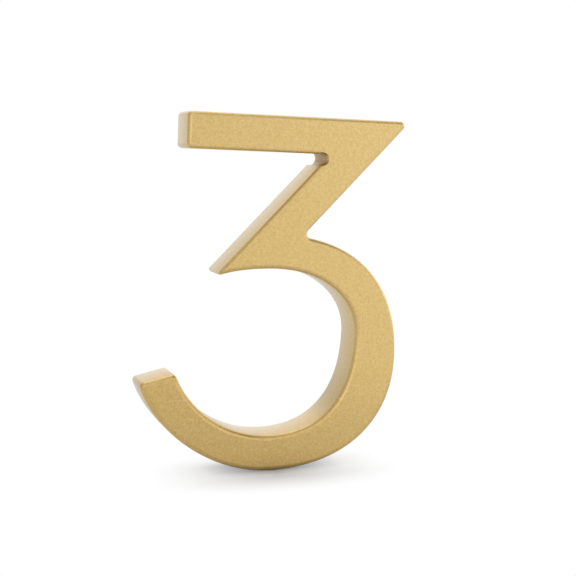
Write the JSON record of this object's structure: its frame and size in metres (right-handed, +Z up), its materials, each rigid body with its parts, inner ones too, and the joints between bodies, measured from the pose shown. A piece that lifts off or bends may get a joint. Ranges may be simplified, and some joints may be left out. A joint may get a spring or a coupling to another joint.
{
  "type": "house number",
  "caption": "Flat-backed metal numeral 3 for a house wall, with a straight top bar, a slanted stroke and an open round bowl, fixed by studs screwed into its back.",
  "frame": {"origin": "on the flat back face, midway between the two stud holes and on the bowl's upright axis", "axes": "+Z up, +X to the reader's right, +Y out of the back into the wall, so the front faces -Y"},
  "size_m": [0.0745, 0.0125, 0.1],
  "materials": {
    "gold_paint": "satin metallic gold paint with a fine flake grain"
  },
  "bodies": {
    "root": {"numeral": "gold_paint"}
  },
  "joints": []
}
